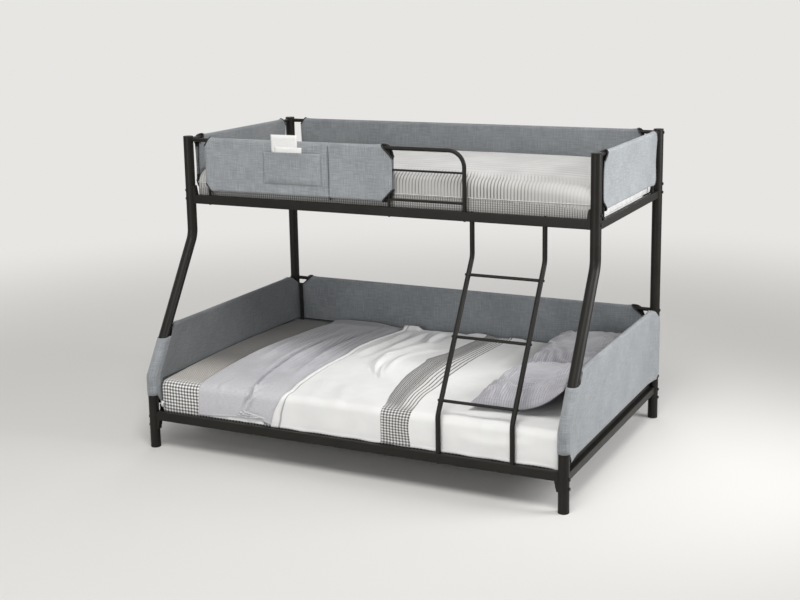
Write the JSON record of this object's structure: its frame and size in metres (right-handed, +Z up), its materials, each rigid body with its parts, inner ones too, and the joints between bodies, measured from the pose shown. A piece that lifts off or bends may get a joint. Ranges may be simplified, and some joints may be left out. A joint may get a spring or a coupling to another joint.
{
  "type": "bunk bed",
  "caption": "Metal tube bunk bed with a wide lower deck, leaning front legs, ladder, guard rails, padded fabric panels, mattresses and bedding.",
  "frame": {"origin": "centre of the bed's bounding box, on the floor", "axes": "+X along the bed from the foot end to the pillow end, -Y the ladder side, +Z up"},
  "size_m": [2.1066, 1.4075, 1.4718],
  "materials": {
    "black_metal": "fine black powder coat, slightly brown, satin",
    "bolt_steel": "black oxide bolt heads",
    "black_plastic": "flush moulded caps and feet",
    "panel_fabric": "heathered blue-grey padded cloth with black binding",
    "mattress_fabric": "pale ribbed mattress cover with a seam",
    "sheet_fabric": "blue-grey check sheet over the mattress",
    "blanket_fabric": "grey-lilac blanket with white piping",
    "duvet_fabric": "white cotton duvet with a grey check band",
    "pillow_fabric": "grey-lilac crinkled cotton",
    "white_paper": "blank matt paper"
  },
  "bodies": {
    "frame": {"front_leg_left": "black_metal", "front_leg_right": "black_metal", "back_post_left": "black_metal", "back_post_right": "black_metal", "upper_front_rail": "black_metal", "upper_back_rail": "black_metal", "lower_front_rail": "black_metal", "lower_back_rail": "black_metal", "upper_end_rail_left": "black_metal", "upper_end_rail_right": "black_metal", "lower_end_rail_left": "black_metal", "lower_end_rail_right": "black_metal", "upper_slats": "black_metal", "lower_slats": "black_metal", "middle_beam": "black_metal", "middle_legs": "black_metal", "front_guard_tube": "black_metal", "front_guard_uprights": "black_metal", "front_guard_low_bar": "black_metal", "front_guard_mid_bar": "black_metal", "back_guard_bar": "black_metal", "back_guard_uprights": "black_metal", "back_guard_low_bar": "black_metal", "end_guard_bar_left": "black_metal", "end_guard_uprights_left": "black_metal", "end_guard_low_bar_left": "black_metal", "end_guard_bar_right": "black_metal", "end_guard_uprights_right": "black_metal", "end_guard_low_bar_right": "black_metal", "lower_back_bars": "black_metal", "lower_end_bars_left": "black_metal", "lower_end_bars_right": "black_metal", "ladder_stile_left": "black_metal", "ladder_stile_right": "black_metal", "ladder_rung_1": "black_metal", "ladder_rung_2": "black_metal", "ladder_rung_3": "black_metal", "rail_bolts": "bolt_steel", "panel_bolts": "bolt_steel", "deck_bolts": "bolt_steel", "rung_bolts": "bolt_steel", "post_caps": "black_plastic", "feet": "black_plastic", "tube_inserts": "black_plastic", "upper_front_panel": "panel_fabric", "upper_back_panel": "panel_fabric", "upper_end_panel_left": "panel_fabric", "upper_end_panel_right": "panel_fabric", "lower_back_panel": "panel_fabric", "lower_end_panel_left": "panel_fabric", "lower_end_panel_right": "panel_fabric", "storage_pocket": "panel_fabric", "lower_mattress": "sheet_fabric", "grey_blanket": "blanket_fabric", "white_duvet": "duvet_fabric"},
    "upper_mattress_body": {"upper_mattress": "mattress_fabric"},
    "front_pillow_body": {"front_pillow": "pillow_fabric"},
    "back_pillow_body": {"back_pillow": "pillow_fabric"},
    "papers": {"booklet": "white_paper", "card": "white_paper"}
  },
  "joints": [
    {"name": "upper_mattress_lift", "type": "slide", "parent": "frame", "child": "upper_mattress_body", "axis": [0, 0, 1], "range_m": [0, 0.32]},
    {"name": "front_pillow_lift", "type": "slide", "parent": "frame", "child": "front_pillow_body", "axis": [0, 0, 1], "range_m": [0, 0.1]},
    {"name": "back_pillow_lift", "type": "slide", "parent": "frame", "child": "back_pillow_body", "axis": [0, 0, 1], "range_m": [0, 0.3]},
    {"name": "papers_lift", "type": "slide", "parent": "frame", "child": "papers", "axis": [0, 0, 1], "range_m": [0, 0.17]}
  ]
}
